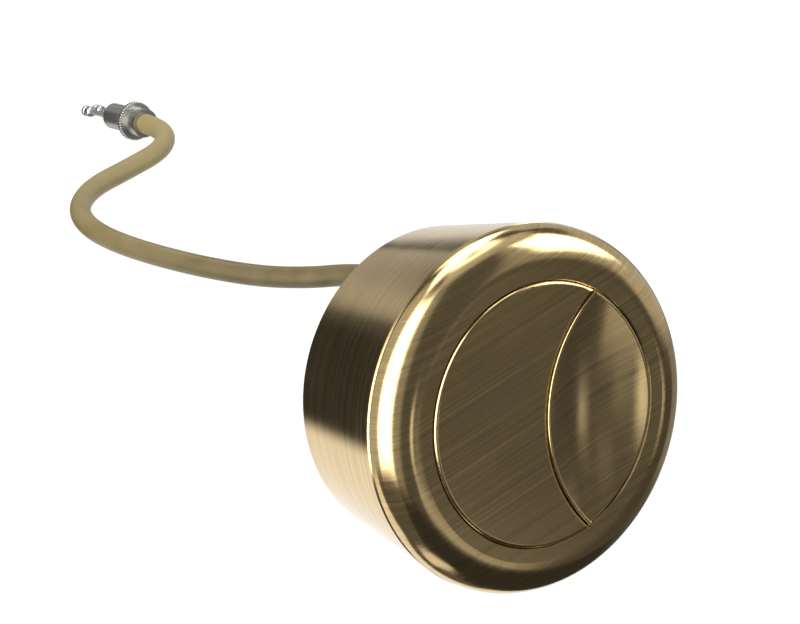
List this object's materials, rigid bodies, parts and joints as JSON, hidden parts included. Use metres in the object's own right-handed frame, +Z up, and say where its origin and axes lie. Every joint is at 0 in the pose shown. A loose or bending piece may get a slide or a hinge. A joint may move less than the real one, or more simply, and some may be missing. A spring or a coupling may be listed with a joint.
{
  "type": "push button cistern actuator",
  "caption": "Round brass wall push button for a concealed cistern, with a crescent full-flush cap, a dished half-flush cap and a pull cable.",
  "frame": {"origin": "centre of the base plate's rear face, which lies on the wall", "axes": "+Y into the wall, so the buttons face -Y; +Z up; +X to the right seen from the front"},
  "size_m": [0.073, 0.2, 0.073],
  "materials": {
    "sleeve_brass": "brushed around the axis, antique tone",
    "bezel_brass": "brushed, rounded shoulder",
    "cap_brass": "brushed in one diagonal direction",
    "black_rubber": "matt",
    "black_foam": "closed-cell foam",
    "plunger_plastic": "moulded acetal",
    "body_plastic": "moulded",
    "lever_plastic": "moulded acetal",
    "steel": "turned",
    "spring_steel": "drawn wire",
    "wire_steel": "stranded wire with crimped nipples",
    "ferrule_metal": "nickel plated",
    "cable_cream": "extruded sheath"
  },
  "bodies": {
    "housing": {"outer_sleeve": "sleeve_brass", "front_bezel": "bezel_brass", "bezel_seal": "black_rubber", "wall_gasket": "black_foam", "strain_relief": "black_rubber", "guide_body": "body_plastic", "base_plate": "body_plastic", "lever_pin": "steel", "pin_clips": "spring_steel", "splitter_clip": "spring_steel", "grub_screw": "steel", "cable_splitter": "ferrule_metal", "end_ferrule": "ferrule_metal", "cable_sheath": "cable_cream", "full_flush_spring_upper": "spring_steel", "full_flush_spring_lower": "spring_steel", "half_flush_spring_upper": "spring_steel", "half_flush_spring_lower": "spring_steel"},
    "full_button": {"full_flush_cap": "cap_brass", "full_flush_plunger": "plunger_plastic"},
    "full_lever": {"full_flush_lever": "lever_plastic"},
    "full_wire": {"full_flush_wire": "wire_steel"},
    "full_wire_end": {"full_flush_wire_end": "wire_steel"},
    "half_button": {"half_flush_cap": "cap_brass", "half_flush_plunger": "plunger_plastic"},
    "half_lever": {"half_flush_lever": "lever_plastic"},
    "half_wire": {"half_flush_wire": "wire_steel"},
    "half_wire_end": {"half_flush_wire_end": "wire_steel"}
  },
  "joints": [
    {"name": "full_flush_press", "type": "slide", "parent": "housing", "child": "full_button", "axis": [0, 1, 0], "range_m": [0, 0.006], "stiffness_N_per_m": 600, "springref_m": -0.004, "deforming": ["full_flush_spring_upper", "full_flush_spring_lower"]},
    {"name": "full_lever_rock", "type": "hinge", "parent": "housing", "child": "full_lever", "pos_m": [0, -0.01621, 0.0035], "axis": [1, 0, 0], "range_deg": [0, 20.02]},
    {"name": "full_wire_pull", "type": "slide", "parent": "housing", "child": "full_wire", "axis": [0, -1, 0], "range_m": [0, 0.00548]},
    {"name": "full_wire_draw", "type": "slide", "parent": "housing", "child": "full_wire_end", "axis": [0, -1, 0], "range_m": [0, 0.00548]},
    {"name": "half_flush_press", "type": "slide", "parent": "housing", "child": "half_button", "axis": [0, 1, 0], "range_m": [0, 0.006], "stiffness_N_per_m": 600, "springref_m": -0.004, "deforming": ["half_flush_spring_upper", "half_flush_spring_lower"]},
    {"name": "half_lever_rock", "type": "hinge", "parent": "housing", "child": "half_lever", "pos_m": [0, -0.01621, 0.0035], "axis": [1, 0, 0], "range_deg": [0, 20.02]},
    {"name": "half_wire_pull", "type": "slide", "parent": "housing", "child": "half_wire", "axis": [0, -1, 0], "range_m": [0, 0.00548]},
    {"name": "half_wire_draw", "type": "slide", "parent": "housing", "child": "half_wire_end", "axis": [0, -1, 0], "range_m": [0, 0.00548]}
  ],
  "couplings": [
    {"joint": "full_lever_rock", "follows": "full_flush_press", "rad_per_m": 58.224},
    {"joint": "full_wire_pull", "follows": "full_flush_press", "ratio": 0.91176},
    {"joint": "full_wire_draw", "follows": "full_flush_press", "ratio": 0.91176},
    {"joint": "half_lever_rock", "follows": "half_flush_press", "rad_per_m": 58.224},
    {"joint": "half_wire_pull", "follows": "half_flush_press", "ratio": 0.91176},
    {"joint": "half_wire_draw", "follows": "half_flush_press", "ratio": 0.91176}
  ]
}
